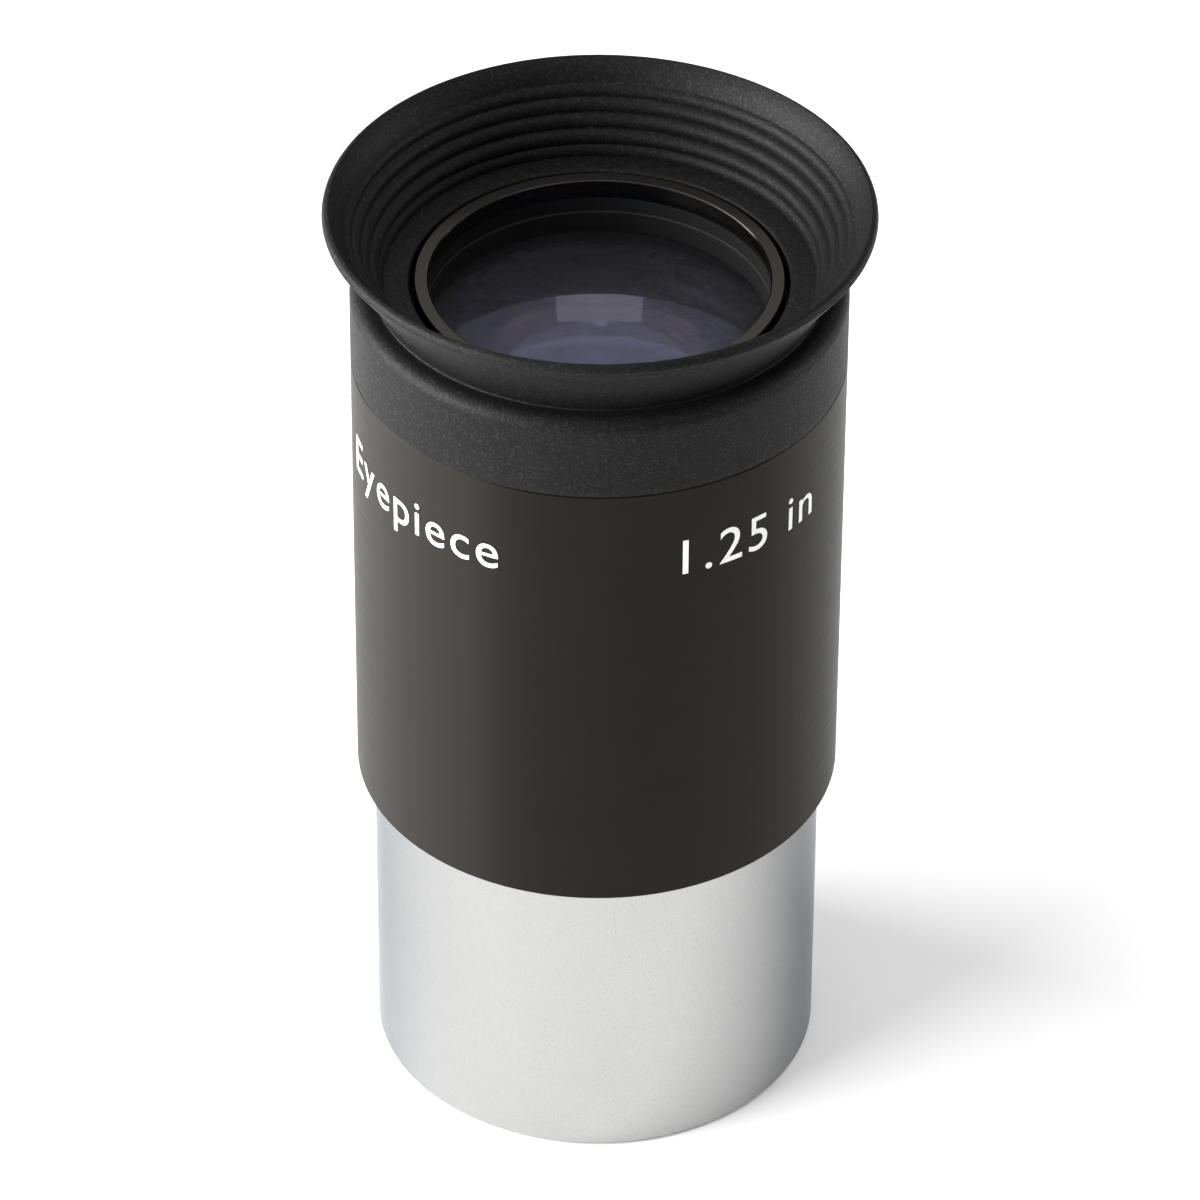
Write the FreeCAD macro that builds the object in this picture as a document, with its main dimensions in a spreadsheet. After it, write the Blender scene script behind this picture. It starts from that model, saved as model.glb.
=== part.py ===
"""Telescope eyepiece of the Ploessl type, 30 mm focal length, with a 1.25 inch (31.75 mm) nose barrel.

Millimetres. The optical axis is +Z and points at the eye. The origin is the centre of the barrel's lower rim.
Every piece but the threads, slots and the split ring is round, so it is one half-section turned about Z.
"""
import FreeCAD, Part
import Sketcher
import math
import os
import re

NUMBERS = {
    # nose barrel: the tube that slides into the telescope's focuser
    "barrel_radius": 15.875,
    "barrel_shoulder": 24.0,
    "barrel_edge": 0.25,
    "barrel_bore": 14.4,
    # female thread for filters in the barrel's mouth, M28.5 x 0.6
    "filter_crest": 13.93,
    "filter_root": 14.28,
    "filter_length": 4.2,
    "filter_pitch": 0.6,
    "filter_crest_half_gap": 0.22,
    "filter_root_half_gap": 0.05,
    # threaded spigot at the barrel's top, which the body screws on to
    "spigot_top": 29.0,
    "spigot_bore": 14.1,
    "joint_pitch": 1.0,
    "joint_male_crest": 15.2,
    "joint_male_root": 14.75,
    "joint_crest_half": 0.1,
    "joint_root_half": 0.36,
    "joint_male_start": 24.6,
    "joint_male_rise": 3.6,
    "joint_mouth_half": 0.41,
    "joint_valley_half": 0.15,
    "joint_female_crest": 14.85,
    "joint_female_root": 15.3,
    "joint_female_rise": 6.0,
    "overlap": 0.1,
    "margin": 1.0,
    # field stop: a knife-edged ring on a ledge in the barrel, held by a split ring
    "ledge_radius": 13.6,
    "ledge_low": 20.0,
    "ledge_top": 21.2,
    "stop_aperture": 13.3,
    "stop_radius": 14.05,
    "stop_thick": 1.2,
    "stop_knife": 0.2,
    "split_ring_inner": 13.55,
    "split_ring_thick": 0.7,
    "split_ring_gap": 3.0,
    # body: the black tube with the lenses in it, and the neck that carries the rubber eyecup
    "body_radius": 17.1,
    "body_edge": 0.12,
    "body_top": 58.93,
    "relief_radius": 15.35,
    "relief_low": 29.1,
    "relief_top": 30.4,
    "baffle_wide": 14.4,
    "baffle_narrow": 13.2,
    "baffle_step": 0.5,
    "lock_low": 41.4,
    "lock_top": 44.5,
    "lock_radius": 12.9,
    "cell_radius": 12.55,
    "seat_top": 63.38,
    "neck_radius": 15.9,
    "groove_radius": 15.2,
    "groove_low": 60.0,
    "groove_top": 61.0,
    "flange_top": 62.6,
    "ring_outer": 12.68,
    "ring_inner": 11.72,
    "ring_facet": 64.1,
    "ring_lower": 11.92,
    "ring_top": 64.95,
    "ring_edge": 0.08,
    # lenses: two mirror-image pairs of crown and flint, crowns facing each other
    "lens_radius": 12.5,
    "eye_vertex": 61.6,
    "lens_gap": 0.6,
    "outer_curve": 80.0,
    "cement_curve": 24.0,
    "inner_curve": 34.0,
    "flint_centre": 1.6,
    "crown_rim": 1.2,
    # rings that place the lenses
    "seat_bore": 11.7,
    "seat_step_bore": 11.85,
    "seat_step": 62.2,
    "seat_step_half": 0.05,
    "seat_step_rise": 0.1,
    "seat_low": 60.77,
    "spacer_bore": 11.9,
    "lock_bore": 11.9,
    "lock_mouth": 12.2,
    "slot_wide": 1.4,
    "slot_deep": 1.3,
    "slide_gap": 0.02,
    # rubber eyecup: collar on the neck, flare that folds down, and lip
    "collar_round": 1.0,
    "collar_top": 65.0,
    "floor_level": 64.9,
    "floor_inner": 13.0,
    "floor_round": 0.25,
    "flare_inner": 14.78,
    "flare_outer": 15.5,
    "flare_curve": 20.0,
    "rib_curve": 0.7,
    "valley_1_radius": 15.12,
    "valley_1_level": 65.7,
    "valley_2_radius": 15.72,
    "valley_2_level": 66.7,
    "valley_3_radius": 16.28,
    "valley_3_level": 67.64,
    "valley_4_radius": 16.84,
    "valley_4_level": 68.56,
    "valley_5_radius": 17.32,
    "valley_5_level": 69.3,
    "lip_split": 69.45,
    "lip_inner": 17.5,
    "lip_under": 18.25,
    "lip_widest": 18.89,
    "lip_widest_level": 70.45,
    "lip_crown": 18.45,
    "lip_crown_level": 70.9,
    "lip_round": 0.5,
    "lip_trumpet": 4.0,
}

doc = FreeCAD.newDocument("eyepiece")
sheet = doc.addObject("Spreadsheet::Sheet", "Dims")
for row, (alias, value) in enumerate(NUMBERS.items(), 1):
    sheet.set(f"A{row}", alias)
    sheet.set(f"B{row}", str(value))
    sheet.setAlias(f"B{row}", alias)
doc.recompute()
pieces = []


def bound(text):
    """An expression in the sheet's names, with the names written so that other objects can read them."""
    return re.sub(r"\b(?!sqrt\b)[a-z]\w*", r"Dims.\g<0>", text)


def value_of(text):
    """What an expression in the sheet's names comes to, in millimetres."""
    return float(sheet.evalExpression(bound(text)))


def sag(curve, radius):
    """How far a sphere of one radius falls away from its top at a distance from the axis."""
    return f"({curve} - sqrt({curve} ^ 2 - {radius} ^ 2))"


def origin_feature(body, role):
    """One of a body's own origin planes or axes."""
    return next(item for item in body.Origin.OriginFeatures if item.Role == role)


def arc_between(start, end, radius, turn):
    """A circular arc from start to end. turn is 1 if it turns left on the way and -1 if it turns right."""
    chord = end - start
    rise = math.sqrt(radius ** 2 - (chord.Length / 2) ** 2)
    left = FreeCAD.Vector(-chord.y, chord.x, 0).normalize()
    centre = (start + end) * 0.5 + left * rise * turn
    first, last = (start, end) if turn > 0 else (end, start)
    angles = [math.atan2(point.y - centre.y, point.x - centre.x) for point in (first, last)]
    return Part.ArcOfCircle(Part.Circle(centre, FreeCAD.Vector(0, 0, 1), radius), *angles)


def pin_corner(sketch, geometry, end, axis, kind, text):
    """Bind one coordinate of a corner to the sheet."""
    if text == "0":
        sketch.addConstraint(Sketcher.Constraint("PointOnObject", geometry, end, axis))
        return
    index = sketch.addConstraint(Sketcher.Constraint(kind, -1, 1, geometry, end, value_of(text)))
    sketch.setExpression(f"Constraints[{index}]", bound(text))


def draw_outline(sketch, outline):
    """Draw a closed outline. A corner is (r, z), or (r, z, radius, turn) where an arc leads on from it."""
    corners = [FreeCAD.Vector(value_of(corner[0]), value_of(corner[1]), 0) for corner in outline]
    ends = []
    for number, corner in enumerate(outline):
        start, end = corners[number], corners[(number + 1) % len(corners)]
        if len(corner) == 2:
            index = sketch.addGeometry(Part.LineSegment(start, end))
            ends.append((index, 1, 2))
            continue
        radius, turn = corner[2:]
        index = sketch.addGeometry(arc_between(start, end, value_of(radius), turn))
        ends.append((index, 1, 2) if turn > 0 else (index, 2, 1))
    for number, (index, first, last) in enumerate(ends):
        next_index, next_first, _ = ends[(number + 1) % len(ends)]
        sketch.addConstraint(Sketcher.Constraint("Coincident", index, last, next_index, next_first))
        pin_corner(sketch, index, first, -2, "DistanceX", outline[number][0])
        pin_corner(sketch, index, first, -1, "DistanceY", outline[number][1])
        if len(outline[number]) > 2:
            radius = outline[number][2]
            bend = sketch.addConstraint(Sketcher.Constraint("Radius", index, value_of(radius)))
            sketch.setExpression(f"Constraints[{bend}]", bound(radius))


def section(body, name, outline, role="XZ_Plane"):
    """A sketch in one of the body's own planes. In the XZ plane x is the radius and y the height."""
    sketch = body.newObject("Sketcher::SketchObject", name)
    sketch.AttachmentSupport = [(origin_feature(body, role), "")]
    sketch.MapMode = "FlatFace"
    draw_outline(sketch, outline)
    return sketch


def turned(name, outline):
    """A round piece: a half-section turned once about the optical axis."""
    body = doc.addObject("PartDesign::Body", name)
    body.Label = name
    sketch = section(body, name + "_section", outline)
    turn = body.newObject("PartDesign::Revolution", name + "_turned")
    turn.Profile = sketch
    turn.ReferenceAxis = (sketch, ["V_Axis"])
    turn.Angle = 360
    doc.recompute()
    pieces.append(body)
    return body


def tooth(surface, tip, sink, surface_half, tip_half, height):
    """A thread's section: its widths at the surface and the tip, and sunk a little past the surface."""
    return [
        (f"{surface} + ({sink})", f"{height} - {surface_half}"),
        (surface, f"{height} - {surface_half}"),
        (tip, f"{height} - ({tip_half})"),
        (tip, f"{height} + {tip_half}"),
        (surface, f"{height} + {surface_half}"),
        (f"{surface} + ({sink})", f"{height} + {surface_half}"),
    ]


def thread(body, kind, name, outline, pitch, rise):
    """A right-handed thread, added or cut: its section swept up a helix about the optical axis."""
    before = body.Shape.Volume
    helix = body.newObject("PartDesign::" + kind, name)
    helix.Profile = section(body, name + "_section", outline)
    helix.ReferenceAxis = (helix.Profile[0], ["V_Axis"])
    helix.Mode = 0
    helix.setExpression("Pitch", bound(pitch))
    helix.setExpression("Height", bound(rise))
    doc.recompute()
    if abs(body.Shape.Volume - before) < 1:
        raise SystemExit(f"{name} changed nothing")


def ball(name, centre, radius, quarter_turn):
    """A sphere centred on the axis, laid on its side so that its poles and seam miss the lens's face."""
    sphere = doc.addObject("Part::Sphere", name)
    sphere.Placement.Rotation = FreeCAD.Rotation(FreeCAD.Vector(0, 1, 0), quarter_turn)
    sphere.setExpression("Radius", bound(radius))
    sphere.setExpression("Placement.Base.z", bound(centre))
    return sphere


def lens(name, low, high, inside, outside):
    """A lens: a disc of glass ground to lie inside some spheres and outside others."""
    glass = doc.addObject("Part::Cylinder", name + "_blank")
    glass.setExpression("Radius", bound("lens_radius"))
    glass.setExpression("Height", bound(f"({high}) - ({low})"))
    glass.setExpression("Placement.Base.z", bound(low))
    for kind, faces in (("Common", inside), ("Cut", outside)):
        for number, face in enumerate(faces, 1):
            ground = doc.addObject("Part::" + kind, f"{name}_{kind}_{number}")
            ground.Base = glass
            ground.Tool = ball(f"{name}_{kind}_{number}_ball", *face)
            glass = ground
    glass.Label = name
    doc.recompute()
    pieces.append(glass)


def slot(body, name, role, low, high, length):
    """A straight cut with a rectangular outline on one of the body's own planes, to both sides of it."""
    before = body.Shape.Volume
    outline = [low, (high[0], low[1]), high, (low[0], high[1])]
    cut = body.newObject("PartDesign::Pocket", name)
    cut.Profile = section(body, name + "_section", outline, role)
    cut.Midplane = True
    cut.setExpression("Length", bound(length))
    doc.recompute()
    if body.Shape.Volume > before - 1:
        raise SystemExit(f"{name} cut nothing")


# --- barrel ---------------------------------------------------------------------------------------
nose_barrel = turned("nose_barrel", [
    ("barrel_radius - barrel_edge", "0"),
    ("barrel_radius", "barrel_edge"),
    ("barrel_radius", "barrel_shoulder"),
    ("joint_male_root", "barrel_shoulder"),
    ("joint_male_root", "spigot_top - barrel_edge"),
    ("joint_male_root - barrel_edge", "spigot_top"),
    ("spigot_bore", "spigot_top"),
    ("spigot_bore", "ledge_top"),
    ("ledge_radius", "ledge_top"),
    ("ledge_radius", "ledge_low"),
    ("barrel_bore", "ledge_low - (barrel_bore - ledge_radius)"),
    ("barrel_bore", "filter_length + barrel_bore - filter_crest"),
    ("filter_crest", "filter_length"),
    ("filter_crest", "barrel_bore - filter_crest"),
    ("barrel_bore", "0"),
])
thread(nose_barrel, "AdditiveHelix", "joint_male_thread", tooth(
    "joint_male_root", "joint_male_crest", "0 - overlap",
    "joint_root_half", "joint_crest_half", "joint_male_start"), "joint_pitch", "joint_male_rise")
thread(nose_barrel, "SubtractiveHelix", "filter_thread", tooth(
    "filter_crest", "filter_root", "0 - overlap",
    "filter_crest_half_gap", "filter_root_half_gap", "0 - filter_pitch / 2"),
    "filter_pitch", "filter_length + filter_pitch")

turned("field_stop", [
    ("stop_aperture", "ledge_top"),
    ("stop_radius", "ledge_top"),
    ("stop_radius", "ledge_top + stop_thick"),
    ("stop_radius - stop_knife", "ledge_top + stop_thick"),
    ("stop_aperture", "ledge_top + stop_knife"),
])

split_ring = turned("split_ring", [
    ("split_ring_inner", "ledge_top + stop_thick"),
    ("stop_radius", "ledge_top + stop_thick"),
    ("stop_radius", "ledge_top + stop_thick + split_ring_thick"),
    ("split_ring_inner", "ledge_top + stop_thick + split_ring_thick"),
])
slot(split_ring, "ring_gap", "XY_Plane",
     ("0 - stop_radius - margin", "0 - split_ring_gap / 2"),
     ("0 - stop_aperture + margin", "split_ring_gap / 2"),
     "spigot_top * 2")

# --- body -----------------------------------------------------------------------------------------
body_shell = turned("body_shell", [
    ("joint_female_root", "barrel_shoulder"),
    ("body_radius - body_edge", "barrel_shoulder"),
    ("body_radius", "barrel_shoulder + body_edge"),
    ("body_radius", "body_top - body_edge"),
    ("body_radius - body_edge", "body_top"),
    ("neck_radius", "body_top"),
    ("neck_radius", "groove_low"),
    ("groove_radius", "groove_low"),
    ("groove_radius", "groove_top"),
    ("neck_radius", "groove_top"),
    ("neck_radius", "flange_top"),
    ("ring_outer", "flange_top"),
    ("ring_outer", "ring_top - ring_edge"),
    ("ring_outer - ring_edge", "ring_top"),
    ("ring_inner + ring_edge", "ring_top"),
    ("ring_inner", "ring_top - ring_edge"),
    ("ring_inner", "ring_facet"),
    ("ring_lower", "seat_top"),
    ("cell_radius", "seat_top"),
    ("cell_radius", "lock_top"),
    ("lock_radius", "lock_top"),
    ("lock_radius", "lock_low"),
    ("baffle_narrow", "lock_low - baffle_step"),
    ("baffle_wide", "relief_top"),
    ("relief_radius", "relief_top"),
    ("relief_radius", "relief_low"),
    ("joint_female_crest", "relief_low"),
    ("joint_female_crest", "barrel_shoulder + joint_female_root - joint_female_crest"),
])
thread(body_shell, "SubtractiveHelix", "joint_female_thread", tooth(
    "joint_female_crest", "joint_female_root", "0 - overlap",
    "joint_mouth_half", "joint_valley_half", "joint_male_start - joint_pitch"),
    "joint_pitch", "joint_female_rise")

# --- lenses ---------------------------------------------------------------------------------------
# Heights of the eye pair, from its outermost point down, and of the field pair, which mirrors it.
CEMENT_SAG = sag("cement_curve", "lens_radius")
INNER_SAG = sag("inner_curve", "lens_radius")
SPACER_SAG = sag("inner_curve", "spacer_bore")
EYE_CEMENT = "eye_vertex - flint_centre"
EYE_CEMENT_RIM = f"{EYE_CEMENT} - {CEMENT_SAG}"
EYE_INNER_RIM = f"{EYE_CEMENT_RIM} - crown_rim"
EYE_INNER = f"{EYE_INNER_RIM} - {INNER_SAG}"
FIELD_INNER = f"{EYE_INNER} - lens_gap"
FIELD_INNER_RIM = f"{FIELD_INNER} - {INNER_SAG}"
FIELD_CEMENT_RIM = f"{FIELD_INNER_RIM} - crown_rim"
FIELD_CEMENT = f"{FIELD_CEMENT_RIM} - {CEMENT_SAG}"
FIELD_VERTEX = f"{FIELD_CEMENT} - flint_centre"

# The faces the lenses are ground to: a sphere's centre, its radius, and the way it is laid on its side.
EYE_OUTER_FACE = ("eye_vertex - outer_curve", "outer_curve", -90)
EYE_CEMENT_FACE = (f"{EYE_CEMENT} - cement_curve", "cement_curve", -90)
EYE_INNER_FACE = (f"{EYE_INNER} + inner_curve", "inner_curve", 90)
FIELD_INNER_FACE = (f"{FIELD_INNER} - inner_curve", "inner_curve", -90)
FIELD_CEMENT_FACE = (f"{FIELD_CEMENT} + cement_curve", "cement_curve", 90)
FIELD_OUTER_FACE = (f"{FIELD_VERTEX} + outer_curve", "outer_curve", 90)

lens("eye_flint_lens", f"{EYE_CEMENT_RIM} - margin", "eye_vertex + margin",
     [EYE_OUTER_FACE], [EYE_CEMENT_FACE])
lens("eye_crown_lens", f"{EYE_INNER} - margin", f"{EYE_CEMENT} + margin",
     [EYE_CEMENT_FACE, EYE_INNER_FACE], [])
lens("field_crown_lens", f"{FIELD_CEMENT} - margin", f"{FIELD_INNER} + margin",
     [FIELD_INNER_FACE, FIELD_CEMENT_FACE], [])
lens("field_flint_lens", f"{FIELD_VERTEX} - margin", f"{FIELD_CEMENT_RIM} + margin",
     [FIELD_OUTER_FACE], [FIELD_CEMENT_FACE])
turned("lens_spacer", [
    ("spacer_bore", f"{FIELD_INNER} - {SPACER_SAG} + slide_gap"),
    ("lens_radius", f"{FIELD_INNER} - {SPACER_SAG} + slide_gap"),
    ("lens_radius", f"{EYE_INNER} + {SPACER_SAG} - slide_gap"),
    ("spacer_bore", f"{EYE_INNER} + {SPACER_SAG} - slide_gap"),
])
turned("eye_seat_ring", [
    ("seat_bore", "seat_low"),
    ("lens_radius", "seat_low"),
    ("lens_radius", "seat_top"),
    ("ring_lower", "seat_top"),
    ("seat_step_bore + seat_step_half", "seat_step + seat_step_rise"),
    ("seat_step_bore - seat_step_half", "seat_step"),
])
lens_lock_ring = turned("lens_lock_ring", [
    ("lock_mouth", "lock_low"),
    ("lock_radius - slide_gap", "lock_low"),
    ("lock_radius - slide_gap", "lock_top - slide_gap"),
    ("lock_bore", "lock_top - slide_gap"),
])
slot(lens_lock_ring, "spanner_slots", "XZ_Plane",
     ("0 - slot_wide / 2", "lock_low - margin"), ("slot_wide / 2", "lock_low + slot_deep"), "lock_radius * 4")

# --- rubber eyecup --------------------------------------------------------------------------------
turned("eyecup_collar", [
    ("neck_radius", "body_top"),
    ("body_radius", "body_top"),
    ("body_radius", "collar_top - collar_round", "collar_round", 1),
    ("body_radius - collar_round", "collar_top"),
    ("flare_inner", "collar_top"),
    ("flare_inner", "floor_level"),
    ("floor_inner + floor_round", "floor_level", "floor_round", 1),
    ("floor_inner", "floor_level - floor_round"),
    ("floor_inner", "flange_top"),
    ("neck_radius", "flange_top"),
    ("neck_radius", "groove_top"),
    ("groove_radius", "groove_top"),
    ("groove_radius", "groove_low"),
    ("neck_radius", "groove_low"),
])
VALLEYS = [("flare_inner", "collar_top")]
VALLEYS += [(f"valley_{number}_radius", f"valley_{number}_level") for number in range(1, 6)]
ribs = [(radius, level, "rib_curve", 1) for radius, level in reversed(VALLEYS[1:])]
turned("eyecup_flare", [
    ("flare_outer", "collar_top", "flare_curve", -1),
    ("lip_under", "lip_split"),
    ("lip_inner", "lip_split"),
    *ribs,
    VALLEYS[0],
])
turned("eyecup_lip", [
    ("lip_inner", "lip_split"),
    ("lip_under", "lip_split", "lip_trumpet", -1),
    ("lip_widest", "lip_widest_level", "lip_round", 1),
    ("lip_crown", "lip_crown_level", "lip_trumpet", 1),
])

# --- check and write ------------------------------------------------------------------------------
doc.recompute()
for item in doc.Objects:
    bad = [state for state in item.State if state in ("Invalid", "Error")]
    if bad:
        raise SystemExit(f"{item.Name}: {bad}")
os.makedirs("parts", exist_ok=True)
for piece in pieces:
    if piece.Shape.isNull() or not piece.Shape.isValid() or len(piece.Shape.Solids) < 1:
        raise SystemExit(f"{piece.Label}: no valid solid")
for piece in pieces:
    piece.Shape.exportStep(f"parts/{piece.Label}.step")
    box = piece.Shape.optimalBoundingBox()
    print(f"{piece.Label:18s} {piece.Shape.Volume:9.2f} mm3  solids {len(piece.Shape.Solids)}"
          f"  r {box.XMax:7.3f}  z {box.ZMin:7.3f} to {box.ZMax:7.3f}")
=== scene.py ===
"""Looks of the telescope eyepiece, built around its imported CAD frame.

Lengths are in metres unless a comment says millimetres. +Z runs along the optical axis to the eye.
"""
import math

import bmesh
import bpy
from mathutils import Matrix, Vector


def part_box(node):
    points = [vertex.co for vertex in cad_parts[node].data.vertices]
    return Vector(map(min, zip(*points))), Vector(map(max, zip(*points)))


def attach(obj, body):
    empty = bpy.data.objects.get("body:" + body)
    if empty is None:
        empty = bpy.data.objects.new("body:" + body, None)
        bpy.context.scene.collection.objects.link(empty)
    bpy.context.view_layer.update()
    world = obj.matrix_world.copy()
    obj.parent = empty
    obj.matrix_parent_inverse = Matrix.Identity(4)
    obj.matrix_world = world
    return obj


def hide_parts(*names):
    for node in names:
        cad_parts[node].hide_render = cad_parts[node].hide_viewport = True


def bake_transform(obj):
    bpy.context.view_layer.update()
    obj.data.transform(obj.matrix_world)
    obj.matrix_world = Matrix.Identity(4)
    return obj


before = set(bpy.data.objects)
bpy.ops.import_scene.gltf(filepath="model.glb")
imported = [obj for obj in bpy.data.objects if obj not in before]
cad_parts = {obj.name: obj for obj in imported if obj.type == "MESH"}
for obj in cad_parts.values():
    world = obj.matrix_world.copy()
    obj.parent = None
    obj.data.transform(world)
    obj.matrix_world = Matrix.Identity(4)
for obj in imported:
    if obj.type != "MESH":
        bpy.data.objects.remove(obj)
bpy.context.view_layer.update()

MM = 0.001
SCENE = bpy.context.scene


# --- places read from the frame ---------------------------------------------------------------
def low(node):
    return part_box(node)[0].z


def high(node):
    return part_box(node)[1].z


def reach(node):
    """A round node's radius."""
    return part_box(node)[1].x


BODY_TOP = low("eyecup_collar")
BODY_RADIUS = reach("body_shell")
COLLAR_TOP = high("eyecup_collar")
LIP_TOP = high("eyecup_lip")
LIP_RADIUS = reach("eyecup_lip")


# --- node graphs ------------------------------------------------------------------------------
class Graph:
    """A material's node tree, with short calls to add nodes and link them."""

    def __init__(self, name):
        self.material = bpy.data.materials.new(name)
        self.material.use_nodes = True
        self.tree = self.material.node_tree
        self.shader = self.tree.nodes["Principled BSDF"]

    def node(self, kind, inputs=None, **settings):
        made = self.tree.nodes.new(kind)
        for key, value in settings.items():
            setattr(made, key, value)
        for key, value in (inputs or {}).items():
            self.feed(made.inputs[key], value)
        return made

    def feed(self, socket, value):
        if isinstance(value, bpy.types.NodeSocket):
            self.tree.links.new(value, socket)
        else:
            socket.default_value = value

    def set(self, **values):
        for key, value in values.items():
            self.feed(self.shader.inputs[key.replace("_", " ")], value)

    def place(self, stretch=(1, 1, 1)):
        """A point on the piece, in millimetres, stretched along each axis."""
        coordinates = self.node("ShaderNodeTexCoord").outputs["Object"]
        scale = [factor / MM for factor in stretch]
        return self.node("ShaderNodeMapping", {"Vector": coordinates, "Scale": scale}).outputs["Vector"]

    def noise(self, vector, scale, detail=2.0, roughness=0.5):
        """Cloudy values from 0 to 1; scale is in cells per millimetre."""
        inputs = {"Vector": vector, "Scale": scale, "Detail": detail, "Roughness": roughness}
        return self.node("ShaderNodeTexNoise", inputs).outputs["Fac"]

    def ramp(self, value, to_start, to_end, from_start=0.0, from_end=1.0):
        """value brought from one range to another, and held at its ends."""
        inputs = {"Value": value, "From Min": from_start, "From Max": from_end,
                  "To Min": to_start, "To Max": to_end}
        return self.node("ShaderNodeMapRange", inputs).outputs["Result"]

    def blend(self, factor, first, second):
        """A colour between two colours."""
        made = self.node("ShaderNodeMix", data_type="RGBA")
        self.feed(made.inputs["Factor"], factor)
        self.feed(made.inputs["A"], first)
        self.feed(made.inputs["B"], second)
        return made.outputs["Result"]

    def radius(self):
        """Distance from the optical axis, in millimetres."""
        flat = self.place((1, 1, 0))
        return self.node("ShaderNodeVectorMath", {"Vector": flat}, operation="LENGTH").outputs["Value"]

    def turned(self, amount):
        """Gloss stretched along the axis, as lathe marks round the tube stretch it."""
        tangent = self.node("ShaderNodeTangent", direction_type="RADIAL", axis="Z").outputs["Tangent"]
        self.set(Anisotropic=amount, Anisotropic_Rotation=0.25, Tangent=tangent)

    def bump(self, height, distance, strength, normal=None):
        """A bumped normal; distance is in metres."""
        inputs = {"Height": height, "Distance": distance, "Strength": strength}
        if normal is not None:
            inputs["Normal"] = normal
        return self.node("ShaderNodeBump", inputs).outputs["Normal"]


# --- materials --------------------------------------------------------------------------------
# Where the bright ring round the lens ends on the body, in millimetres
RING_RADIUS = (12.70, 12.80)
RING_HEIGHT = (62.5, 62.7)
# Where the blackened bore gives way to chrome, in millimetres from the axis
BORE_EDGE = (14.35, 14.45)


def anodised():
    """Black anodised aluminium with fine lathe rings, cut brighter on the ring round the lens."""
    g = Graph("black_anodised")
    height = g.node("ShaderNodeSeparateXYZ", {"Vector": g.place()}).outputs["Z"]
    inside = g.ramp(g.radius(), 1, 0, *RING_RADIUS)
    above = g.ramp(height, 0, 1, *RING_HEIGHT)
    ring = g.node("ShaderNodeMath", {0: inside, 1: above}, operation="MULTIPLY").outputs["Value"]
    rings = g.noise(g.place((0.25, 0.25, 14)), 1.0, 3)
    broad = g.noise(g.place((0.04, 0.04, 0.5)), 1.0, 2)
    cloud = g.noise(g.place(), 0.12, 3)
    black = g.blend(cloud, (0.0042, 0.0037, 0.0030, 1), (0.0062, 0.0055, 0.0045, 1))
    g.set(Base_Color=g.blend(ring, black, (0.036, 0.035, 0.033, 1)))
    g.set(Metallic=ring)
    g.set(Roughness=g.ramp(ring, g.ramp(rings, 0.34, 0.44, 0.3, 0.7), 0.24))
    g.set(Specular_IOR_Level=0.13)
    g.set(Specular_Tint=(1.0, 0.93, 0.84, 1))
    g.turned(0.85)
    grain = g.bump(rings, 0.004 * MM, 0.8)
    g.set(Normal=g.bump(broad, 0.01 * MM, 0.35, grain))
    return g.material


def chrome():
    """Satin chrome with very fine rings and a pearl grain, and a blackened bore."""
    g = Graph("satin_chrome")
    outside = g.ramp(g.radius(), 0, 1, *BORE_EDGE)
    rings = g.noise(g.place((0.3, 0.3, 22)), 1.0, 2)
    pearl = g.noise(g.place(), 9.0, 3, 0.6)
    cloud = g.noise(g.place(), 0.10, 2)
    metal = g.blend(cloud, (0.395, 0.395, 0.392, 1), (0.425, 0.425, 0.420, 1))
    g.set(Base_Color=g.blend(outside, (0.006, 0.006, 0.006, 1), metal))
    g.set(Metallic=outside)
    g.set(Specular_Tint=(0.51, 0.53, 0.56, 1))
    satin = g.ramp(pearl, 0.20, 0.30, 0.3, 0.7)
    g.set(Roughness=g.ramp(outside, 0.7, satin))
    g.turned(0.15)
    grain = g.bump(pearl, 0.003 * MM, 0.5)
    g.set(Normal=g.bump(rings, 0.002 * MM, 0.5, grain))
    return g.material


def rubber():
    """Moulded rubber with the fine grain of a spark-eroded mould."""
    g = Graph("rubber")
    grain = g.noise(g.place(), 5.0, 4, 0.65)
    pits = g.noise(g.place(), 3.2, 2)
    cloud = g.noise(g.place(), 0.15, 3)
    tone = g.blend(cloud, (0.0030, 0.0032, 0.0030, 1), (0.0055, 0.0057, 0.0053, 1))
    g.set(Base_Color=g.blend(g.ramp(grain, 0, 0.45, 0.52, 0.70), tone, (0.038, 0.039, 0.037, 1)))
    g.set(Roughness=g.ramp(grain, 0.58, 0.44, 0.3, 0.7))
    g.set(Specular_IOR_Level=0.11)
    fine = g.bump(grain, 0.045 * MM, 0.9)
    g.set(Normal=g.bump(pits, 0.02 * MM, 0.5, fine))
    return g.material


def matte_black():
    """Blackened aluminium inside the tubes, with the fine grooves that kill stray light."""
    g = Graph("matte_black")
    grooves = g.noise(g.place((0.1, 0.1, 6)), 1.0, 2)
    dust = g.noise(g.place(), 12.0, 2)
    g.set(Base_Color=g.blend(dust, (0.006, 0.006, 0.006, 1), (0.011, 0.011, 0.010, 1)))
    g.set(Roughness=g.ramp(grooves, 0.55, 0.70, 0.3, 0.7))
    g.set(Specular_IOR_Level=0.25)
    g.set(Normal=g.bump(grooves, 0.006 * MM, 0.5))
    return g.material


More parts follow.
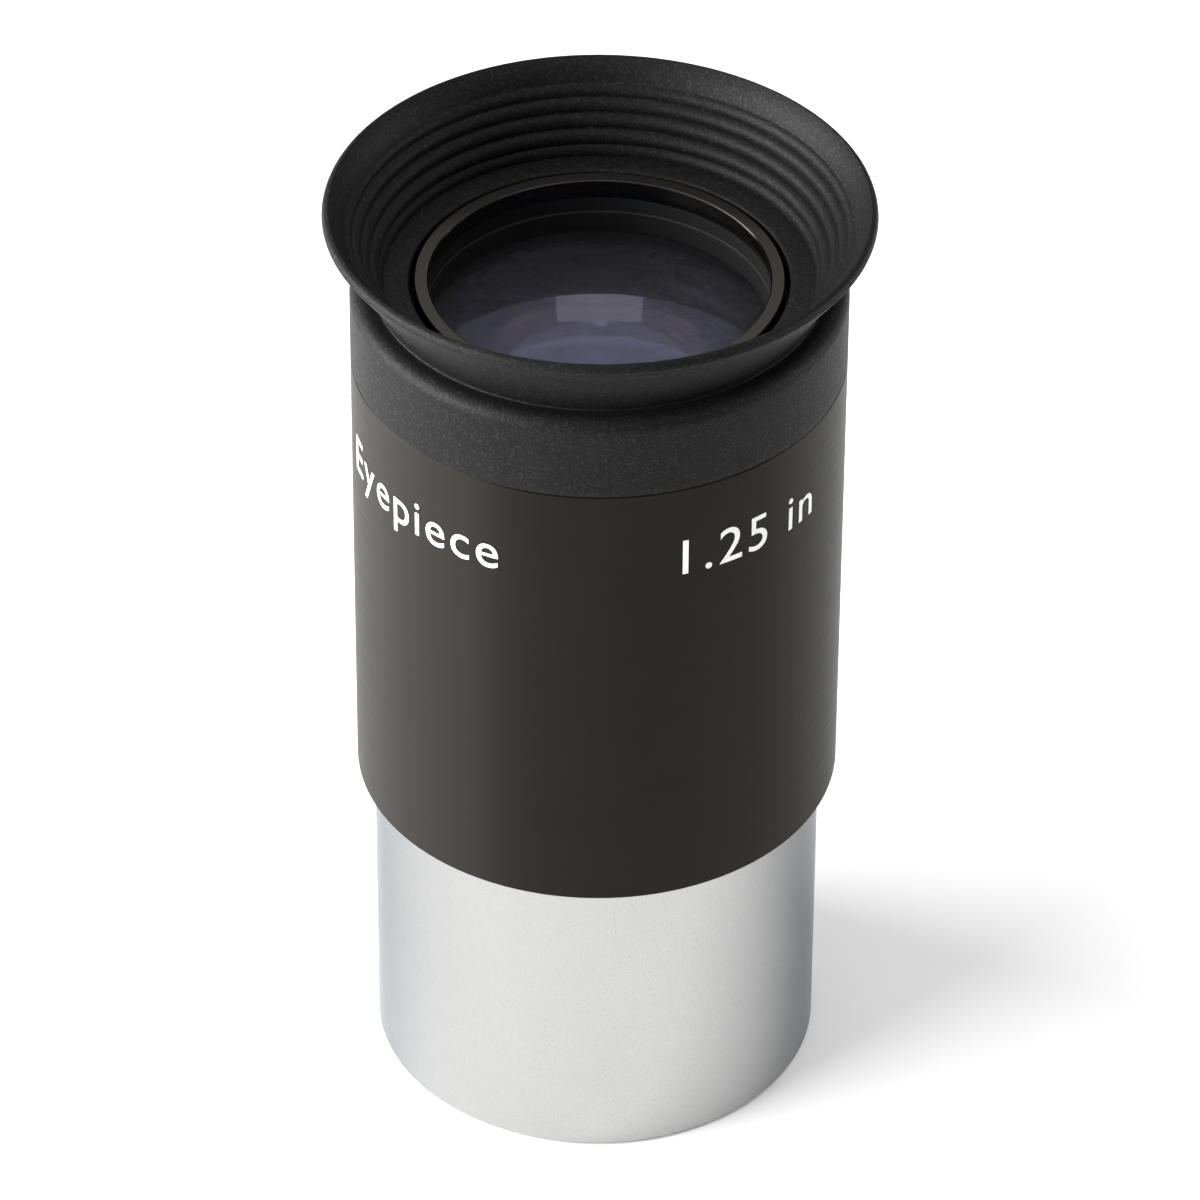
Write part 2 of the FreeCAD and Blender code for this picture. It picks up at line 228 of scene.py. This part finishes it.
def coated_glass():
    """Optical glass under a magnesium fluoride coat that reflects blue-violet.

    A little light is scattered, which stands in for reflections between the lens surfaces.
    """
    g = Graph("coated_glass")
    dust = g.noise(g.place(), 2.5, 5, 0.7)
    g.set(Base_Color=(0.86, 0.86, 0.95, 1))
    g.set(Transmission_Weight=g.ramp(dust, 0.990, 0.977, 0.3, 0.8))
    g.set(IOR=1.55)
    g.set(Roughness=g.ramp(dust, 0.0, 0.012, 0.55, 0.8))
    g.set(Thin_Film_Thickness=128.0)
    g.set(Thin_Film_IOR=1.38)
    return g.material


def ground_rim():
    """A lens's ground edge, blackened so that no light comes back from it."""
    g = Graph("ground_rim")
    grit = g.noise(g.place(), 14.0, 3)
    g.set(Base_Color=g.blend(grit, (0.006, 0.006, 0.006, 1), (0.012, 0.012, 0.012, 1)))
    g.set(Roughness=g.ramp(grit, 0.8, 0.95))
    g.set(Specular_IOR_Level=0.1)
    g.set(Normal=g.bump(grit, 0.01 * MM, 0.5))
    return g.material


def paint():
    """White ink, printed thinly enough to look a little uneven."""
    g = Graph("white_ink")
    patches = g.noise(g.place(), 5.0, 3)
    g.set(Base_Color=g.blend(patches, (0.62, 0.62, 0.60, 1), (0.86, 0.86, 0.84, 1)))
    g.set(Roughness=g.ramp(patches, 0.45, 0.6))
    g.set(Normal=g.bump(patches, 0.01 * MM, 0.4))
    return g.material


def pale_floor():
    """Plain studio paper, faintly mottled."""
    g = Graph("pale_floor")
    mottle = g.noise(g.place(), 0.02, 2)
    g.set(Base_Color=g.blend(mottle, (0.90, 0.90, 0.90, 1), (0.93, 0.93, 0.93, 1)))
    g.set(Roughness=0.9)
    g.set(Specular_IOR_Level=0.1)
    return g.material


# --- mesh making ------------------------------------------------------------------------------
def arc(start, end, radius, turn, steps):
    """Points from start to just before end on an arc, which turns left if turn is 1, right if -1."""
    start, end = Vector(start), Vector(end)
    chord = end - start
    rise = math.sqrt(radius ** 2 - (chord.length / 2) ** 2)
    left = Vector((-chord.y, chord.x)).normalized()
    centre = (start + end) / 2 + left * rise * turn
    first, last = start - centre, end - centre
    sweep = math.acos(max(-1.0, min(1.0, first.dot(last) / radius ** 2))) * turn
    angle = math.atan2(first.y, first.x)
    return [(centre.x + radius * math.cos(angle + sweep * k / steps),
             centre.y + radius * math.sin(angle + sweep * k / steps)) for k in range(steps)]


def straight(start, end, steps):
    """Points from start to just before end on a line."""
    return [(start[0] + (end[0] - start[0]) * k / steps, start[1] + (end[1] - start[1]) * k / steps)
            for k in range(steps)]


ON_AXIS = 1e-6


def lathe(name, section, around, closed=True):
    """Turn a half-section, (radius, height) points in millimetres, about Z.

    A section that isn't closed starts and ends on the axis.
    """
    verts, faces, rings = [], [], []
    for radius, height in section:
        if radius < ON_AXIS:
            rings.append([len(verts)])
            verts.append((0, 0, height * MM))
            continue
        rings.append(list(range(len(verts), len(verts) + around)))
        for k in range(around):
            angle = math.tau * k / around
            verts.append((radius * MM * math.cos(angle), radius * MM * math.sin(angle), height * MM))
    pairs = list(zip(rings, rings[1:]))
    if closed:
        pairs.append((rings[-1], rings[0]))
    for one, two in pairs:
        for k in range(around):
            j = (k + 1) % around
            if len(one) == 1:
                faces.append((one[0], two[j], two[k]))
            elif len(two) == 1:
                faces.append((one[k], one[j], two[0]))
            else:
                faces.append((one[k], one[j], two[j], two[k]))
    mesh = bpy.data.meshes.new(name)
    mesh.from_pydata(verts, [], faces)
    mesh.update()
    piece = bpy.data.objects.new(name, mesh)
    SCENE.collection.objects.link(piece)
    return piece


def smooth(piece, angle):
    """Smooth shading, with edges sharper than angle, in degrees, left sharp."""
    piece.data.shade_smooth()
    piece.data.set_sharp_from_angle(angle=math.radians(angle))
    return piece


def paint_with(piece, material):
    piece.data.materials.clear()
    piece.data.materials.append(material)


# --- rubber eyecup: collar, ribbed flare and lip in one moulding ------------------------------
EYECUP_AROUND = 384
EYECUP_SHARP = 50

# The moulding's half-section, all in millimetres
NECK = 15.9
LEDGE = 62.6
MOUTH = 13.0
CUP_FLOOR = 64.9
MOUTH_BEND = 0.25
COLLAR_CORNER = 0.08
COLLAR_ROUND = 1.0
COLLAR_TOP_END = 15.62
WAIST = 15.54
WAIST_BEND = 0.12
FLARE_END = (18.25, 69.45)
FLARE_BEND = 20.0
LIP_FOOT = 70.25
LIP_SIDE = 70.52
LIP_SWEEP = 4.0
# How far in from the lip's widest radius its bends meet, from the outside to the crown
LIP_FOOT_IN = 0.05
LIP_SIDE_IN = 0.03
CROWN_IN = 0.44
LIP_FOOT_BEND = 0.25
CROWN_BEND = 0.45

# The creases between the ribs inside the flare, (radius, height), from the floor up
VALLEYS = [(14.78, 64.95), (15.12, 65.70), (15.72, 66.70), (16.28, 67.64), (16.84, 68.56), (17.32, 69.33)]
RIB_BEND = 0.70
RIB_STEPS = 10


def collar_outside():
    """From the collar's lower inner edge, out and up to the waist under the flare."""
    radius, bottom, top = BODY_RADIUS / MM, BODY_TOP / MM, COLLAR_TOP / MM
    corner, shoulder = radius - COLLAR_CORNER, radius - COLLAR_ROUND
    points = straight((NECK, bottom), (corner, bottom), 3)
    points += arc((corner, bottom), (radius, bottom + COLLAR_CORNER), COLLAR_CORNER, 1, 3)
    points += straight((radius, bottom + COLLAR_CORNER), (radius, top - COLLAR_ROUND), 12)
    points += arc((radius, top - COLLAR_ROUND), (shoulder, top), COLLAR_ROUND, 1, 12)
    points += straight((shoulder, top), (COLLAR_TOP_END, top), 3)
    points += arc((COLLAR_TOP_END, top), (WAIST, top + WAIST_BEND), WAIST_BEND, -1, 4)
    return points


def flare_outside():
    """Up the outside of the flare and over the lip, to the highest crease inside."""
    top, lip = COLLAR_TOP / MM, LIP_RADIUS / MM
    foot, side = (lip - LIP_FOOT_IN, LIP_FOOT), (lip - LIP_SIDE_IN, LIP_SIDE)
    crown = (lip - CROWN_IN, LIP_TOP / MM)
    points = arc((WAIST, top + WAIST_BEND), FLARE_END, FLARE_BEND, -1, 24)
    points += arc(FLARE_END, foot, LIP_SWEEP, -1, 8)
    points += arc(foot, side, LIP_FOOT_BEND, 1, 5)
    points += arc(side, crown, CROWN_BEND, 1, 8)
    points += arc(crown, VALLEYS[-1], LIP_SWEEP, 1, 14)
    return points


def eyecup_inside():
    """Down the ribs to the floor, through the mouth and back along the neck."""
    points = []
    for upper, lower in zip(reversed(VALLEYS[1:]), reversed(VALLEYS[:-1])):
        points += arc(upper, lower, RIB_BEND, 1, RIB_STEPS)
    points += straight(VALLEYS[0], (MOUTH + MOUTH_BEND, CUP_FLOOR), 4)
    points += arc((MOUTH + MOUTH_BEND, CUP_FLOOR), (MOUTH, CUP_FLOOR - MOUTH_BEND), MOUTH_BEND, 1, 5)
    points += straight((MOUTH, CUP_FLOOR - MOUTH_BEND), (MOUTH, LEDGE), 3)
    points += straight((MOUTH, LEDGE), (NECK, LEDGE), 3)
    points += straight((NECK, LEDGE), (NECK, BODY_TOP / MM), 3)
    return points


def make_eyecup(material):
    """The whole moulding, its half-section drawn anticlockwise."""
    section = collar_outside() + flare_outside() + eyecup_inside()
    piece = smooth(lathe("eyecup", section, EYECUP_AROUND), EYECUP_SHARP)
    paint_with(piece, material)
    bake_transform(piece)
    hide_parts("eyecup_collar", "eyecup_flare", "eyecup_lip")


# --- lenses -----------------------------------------------------------------------------------
LENS_AROUND = 192
LENS_RINGS = 40
LENS_SHARP = 30
RIM_DEPTH = 0.01 * MM
# The radii that the faces are ground to, in millimetres
OUTER_CURVE = 80.0
CEMENT_CURVE = 24.0
INNER_CURVE = 34.0


def cap(vertex, curve, radius):
    """Points on a lens face from the axis out. A positive curve has its rim higher than its middle."""
    points = []
    for k in range(LENS_RINGS):
        r = radius * k / (LENS_RINGS - 1)
        points.append((r, vertex + math.copysign(abs(curve) - math.sqrt(curve ** 2 - r ** 2), curve)))
    return points


def make_lens(node, lower, upper, material, rim_material):
    """A lens between two faces, each given as the height of its middle and its curve."""
    radius = reach(node) / MM
    section = cap(*lower, radius) + cap(*upper, radius)[::-1]
    piece = smooth(lathe(node + "_glass", section, LENS_AROUND, closed=False), LENS_SHARP)
    paint_with(piece, material)
    piece.data.materials.append(rim_material)
    limit = radius * MM - RIM_DEPTH
    at_rim = [vert.co.xy.length > limit for vert in piece.data.vertices]
    for face in piece.data.polygons:
        face.material_index = int(all(at_rim[v] for v in face.vertices))
    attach(piece, "lenses")
    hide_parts(node)


def make_lenses(material, rim_material):
    """Two cemented pairs, each a hollow flint outside and a crown towards the spacer."""
    eye = (high("eye_flint_lens") / MM, -OUTER_CURVE)
    eye_cement = (high("eye_crown_lens") / MM, -CEMENT_CURVE)
    eye_inner = (low("eye_crown_lens") / MM, INNER_CURVE)
    field = (low("field_flint_lens") / MM, OUTER_CURVE)
    field_cement = (low("field_crown_lens") / MM, CEMENT_CURVE)
    field_inner = (high("field_crown_lens") / MM, -INNER_CURVE)
    make_lens("eye_flint_lens", eye_cement, eye, material, rim_material)
    make_lens("eye_crown_lens", eye_inner, eye_cement, material, rim_material)
    make_lens("field_crown_lens", field_cement, field_inner, material, rim_material)
    make_lens("field_flint_lens", field, field_cement, material, rim_material)


# --- lettering --------------------------------------------------------------------------------
INK = 0.02 * MM
LETTER_HEIGHT = 3.0 * MM
LETTER_BASELINE = 51.8 * MM
LETTER_SPACING = 1.12
# A capital's share of the font's size
CAPITAL = 0.73
# The width of the strips that the letters are cut into, so that they bend round the body
LETTER_CUT = 0.3 * MM


def make_lettering(name, words, middle, material):
    """Flat ink letters wrapped round the body. middle is in degrees, 0 at the camera's side."""
    curve = bpy.data.curves.new(name, "FONT")
    curve.body = words
    curve.align_x = "CENTER"
    curve.size = LETTER_HEIGHT / CAPITAL
    curve.space_character = LETTER_SPACING
    curve.extrude = INK
    text = bpy.data.objects.new(name + "_curve", curve)
    SCENE.collection.objects.link(text)
    bpy.context.view_layer.update()
    mesh = bpy.data.meshes.new_from_object(text.evaluated_get(bpy.context.evaluated_depsgraph_get()))
    mesh.name = name
    bpy.data.objects.remove(text)
    shape = bmesh.new()
    shape.from_mesh(mesh)
    left = min(v.co.x for v in shape.verts)
    right = max(v.co.x for v in shape.verts)
    cuts = int((right - left) / LETTER_CUT)
    for k in range(1, cuts):
        everything = shape.verts[:] + shape.edges[:] + shape.faces[:]
        cut = (left + k * LETTER_CUT, 0, 0)
        bmesh.ops.bisect_plane(shape, geom=everything, plane_co=cut, plane_no=(1, 0, 0))
    for vert in shape.verts:
        angle = math.radians(middle) + vert.co.x / BODY_RADIUS
        out = BODY_RADIUS + vert.co.z
        vert.co = Vector((out * math.sin(angle), -out * math.cos(angle), LETTER_BASELINE + vert.co.y))
    shape.to_mesh(mesh)
    shape.free()
    piece = bpy.data.objects.new(name, mesh)
    SCENE.collection.objects.link(piece)
    paint_with(piece, material)
    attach(piece, "body")


# --- stage ------------------------------------------------------------------------------------
FLOOR_SIZE = 6
LIGHT_AIM = Vector((0, 0, 0.04))
WORLD_GLOW = 0.15


def make_floor(material):
    bpy.ops.mesh.primitive_plane_add(size=FLOOR_SIZE)
    floor = bpy.context.active_object
    floor.name = "floor"
    paint_with(floor, material)


def softbox(name, azimuth, elevation, distance, wide, tall, glow):
    """A rectangular light, evenly bright. Azimuth 0 is the camera's side and 90 is +X, in degrees."""
    light = bpy.data.lights.new(name, "AREA")
    light.shape = "RECTANGLE"
    light.size, light.size_y = wide, tall
    light.energy = glow * math.pi * wide * tall
    lamp = bpy.data.objects.new(name, light)
    SCENE.collection.objects.link(lamp)
    turn, rise = math.radians(azimuth), math.radians(elevation)
    away = Vector((math.sin(turn) * math.cos(rise), -math.cos(turn) * math.cos(rise), math.sin(rise)))
    lamp.location = LIGHT_AIM + away * distance
    lamp.rotation_euler = (-away).to_track_quat("-Z", "Y").to_euler()
    lamp.visible_camera = False


def make_world():
    world = bpy.data.worlds.new("studio")
    world.use_nodes = True
    background = world.node_tree.nodes["Background"]
    background.inputs["Color"].default_value = (1, 1, 1, 1)
    background.inputs["Strength"].default_value = WORLD_GLOW
    SCENE.world = world


CAMERA_PLACE = (0.0, -0.41796, 0.35784)
CAMERA_AIM = (0.00017, 0.0, 0.03720)
CAMERA_ROLL = math.radians(0.38)
CAMERA_LENS = 224.2


def make_camera():
    camera = bpy.data.objects.new("camera", bpy.data.cameras.new("camera"))
    SCENE.collection.objects.link(camera)
    camera.data.lens = CAMERA_LENS
    camera.data.sensor_width = 36
    camera.data.clip_start = 0.05
    camera.data.clip_end = 20
    look = (Vector(CAMERA_AIM) - Vector(CAMERA_PLACE)).to_track_quat("-Z", "Y").to_matrix().to_4x4()
    roll = Matrix.Rotation(CAMERA_ROLL, 4, "Z")
    camera.matrix_world = Matrix.Translation(CAMERA_PLACE) @ look @ roll
    SCENE.camera = camera


# --- the scene --------------------------------------------------------------------------------
BLACK = anodised()
CHROME = chrome()
RUBBER = rubber()
DARK = matte_black()
GLASS = coated_glass()
INKED = paint()
paint_with(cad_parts["body_shell"], BLACK)
paint_with(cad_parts["nose_barrel"], CHROME)
for node in ("field_stop", "split_ring", "eye_seat_ring", "lens_lock_ring", "lens_spacer"):
    paint_with(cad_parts[node], DARK)
make_eyecup(RUBBER)
make_lenses(GLASS, ground_rim())
make_lettering("kind_lettering", "Eyepiece", -50, INKED)
make_lettering("barrel_lettering", "1.25 in", 38, INKED)

make_floor(pale_floor())
make_world()
softbox("key_left", azimuth=-80, elevation=15, distance=1.0, wide=1.30, tall=0.5, glow=24.0)
softbox("right", azimuth=98, elevation=12, distance=1.0, wide=0.6, tall=0.3, glow=8.0)
softbox("back_high", azimuth=180, elevation=34, distance=1.4, wide=2.0, tall=0.9, glow=0.5)
softbox("back_spot", azimuth=180, elevation=33, distance=1.0, wide=0.10, tall=0.14, glow=1.6)
softbox("top", azimuth=0, elevation=90, distance=1.1, wide=2.2, tall=2.2, glow=1.0)
make_camera()
SCENE.view_settings.view_transform = "Standard"
